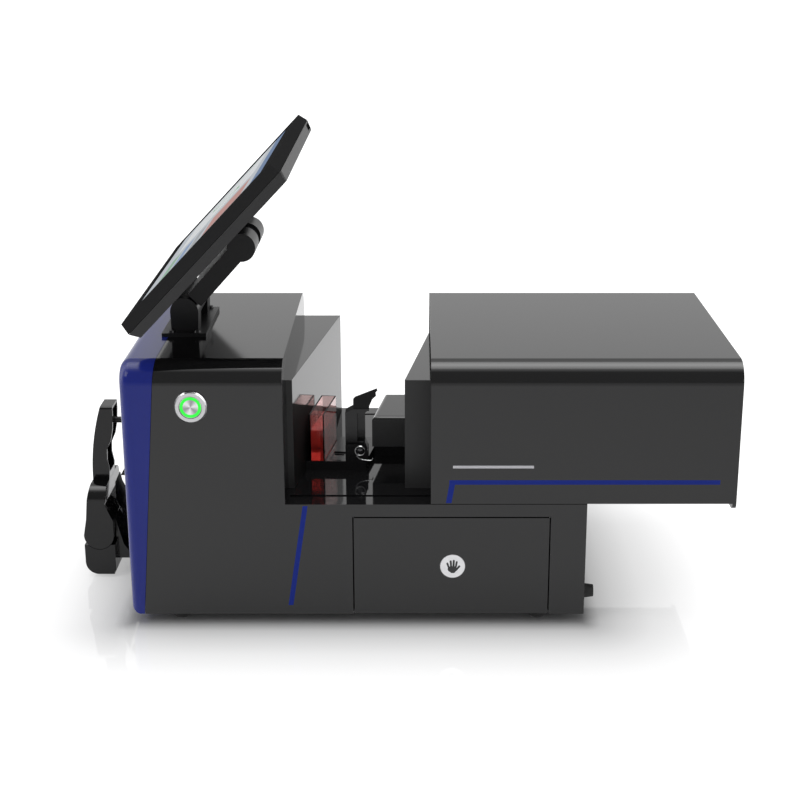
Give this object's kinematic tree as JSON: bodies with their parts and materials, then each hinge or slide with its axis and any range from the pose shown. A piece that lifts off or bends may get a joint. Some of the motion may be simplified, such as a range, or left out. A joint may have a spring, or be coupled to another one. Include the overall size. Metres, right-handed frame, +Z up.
{
  "type": "benchtop spectrophotometer",
  "caption": "Benchtop colour-measuring instrument with a low base, tall front block, sliding sample hood, clip and cell chamber, sprung front clamp, side drawer and tilting display.",
  "frame": {"origin": "on the bench surface under the middle of the base's footprint", "axes": "+X to the rear of the instrument, where the hood opens to; +Y away from the side with the button and the drawer; +Z up"},
  "size_m": [0.5225, 0.276, 0.3645],
  "materials": {
    "dark_shell": "satin moulded",
    "blue_bezel": "glossy moulded",
    "black_gloss": "glossy",
    "chamber_grey": "satin",
    "black_matt": "matt",
    "floor_metal": "powder coated",
    "rear_metal": "powder coated",
    "foot_rubber": "matt",
    "steel": "turned",
    "polished": "polished",
    "black_metal": "black anodised",
    "white_coating": "matt white lining",
    "clear_cell": "clear",
    "red_sample": "clear red liquid",
    "window_glass": "clear",
    "screen_glass": "lit screen behind glass",
    "bezel_grey": "satin",
    "light_green": "translucent",
    "white_print": "printed",
    "board_green": "lacquered",
    "module_metal": "bare",
    "tile_white": "glazed",
    "pad_soft": "soft"
  },
  "bodies": {
    "base": {"housing_shell": "dark_shell", "front_bezel": "blue_bezel", "front_panel": "black_gloss", "bottom_plate": "floor_metal", "feet": "foot_rubber", "rear_bumpers": "foot_rubber", "deck_plate": "black_gloss", "hood_rails": "module_metal", "rear_plate": "rear_metal", "power_inlet": "black_matt", "port_housing": "black_matt", "aperture_plate": "black_metal", "sphere_front": "white_coating", "sphere_rear": "white_coating", "light_tube": "black_metal", "front_chamber_box": "chamber_grey", "chamber_window": "window_glass", "rear_chamber_box": "chamber_grey", "receiver_block": "chamber_grey", "receiver_lens": "window_glass", "optics_stand": "module_metal", "lamp_module": "black_metal", "spectrometer_module": "black_metal", "power_supply": "module_metal", "main_board": "board_green", "button_bezel": "steel", "sample_holder": "black_metal", "clip_pin": "polished", "clip_spring": "steel", "drawer_rails": "module_metal", "arm_base": "dark_shell", "screws": "steel", "clamp_foot": "dark_shell", "clamp_bracket": "dark_shell", "clamp_pin": "steel", "sample_ledge": "black_matt"},
    "hood": {"hood_shell": "dark_shell", "hood_end_panel": "dark_shell", "hood_runners": "black_matt"},
    "button": {"button_cap": "steel", "button_light_ring": "light_green"},
    "rocker": {"power_switch": "black_gloss"},
    "clip": {"clip_lever": "black_metal"},
    "cell": {"cuvette": "clear_cell", "sample_liquid": "red_sample"},
    "drawer": {"drawer_front": "dark_shell", "drawer_tray": "black_matt", "drawer_badge": "white_print", "white_tile_holder": "black_matt", "white_tile": "tile_white", "black_trap": "black_metal"},
    "arm": {"arm_link": "black_metal", "hinge_pins": "steel"},
    "display": {"display_frame": "bezel_grey", "display_screen": "screen_glass", "display_back": "dark_shell", "display_bracket": "black_metal"},
    "clamp": {"clamp_arm": "dark_shell", "clamp_disc": "black_matt", "clamp_pad": "pad_soft"}
  },
  "joints": [
    {"name": "hood_slide", "type": "slide", "parent": "base", "child": "hood", "axis": [1, 0, 0], "range_m": [-0.1109, 0]},
    {"name": "arm_tilt", "type": "hinge", "parent": "base", "child": "arm", "pos_m": [-0.13799, 0, 0.23059], "axis": [0, 1, 0], "range_deg": [-20, 15]},
    {"name": "display_tilt", "type": "hinge", "parent": "arm", "child": "display", "pos_m": [-0.0911, 0, 0.2823], "axis": [0, 1, 0], "range_deg": [-3, 40]},
    {"name": "button_press", "type": "slide", "parent": "base", "child": "button", "axis": [0, 1, 0], "range_m": [0, 0.0022], "stiffness_N_per_m": 1500, "springref_m": -0.002},
    {"name": "drawer_slide", "type": "slide", "parent": "base", "child": "drawer", "axis": [0, -1, 0], "range_m": [0, 0.09]},
    {"name": "clip_swing", "type": "hinge", "parent": "base", "child": "clip", "pos_m": [0.0005, -0.0343, 0.1173], "axis": [0, 1, 0], "range_deg": [-28, 0], "stiffness_Nm_per_rad": 0.05, "springref_deg": 17.19},
    {"name": "cell_lift", "type": "slide", "parent": "base", "child": "cell", "axis": [0, 0, 1], "range_m": [0, 0.055]},
    {"name": "clamp_swing", "type": "hinge", "parent": "base", "child": "clamp", "pos_m": [-0.2184, 0, 0.038], "axis": [0, -1, 0], "range_deg": [0, 45], "stiffness_Nm_per_rad": 0.8, "springref_deg": -17.19},
    {"name": "power_rocker", "type": "hinge", "parent": "base", "child": "rocker", "pos_m": [0.171, 0.036, 0.046], "axis": [0, 1, 0], "range_deg": [-12, 0]}
  ]
}
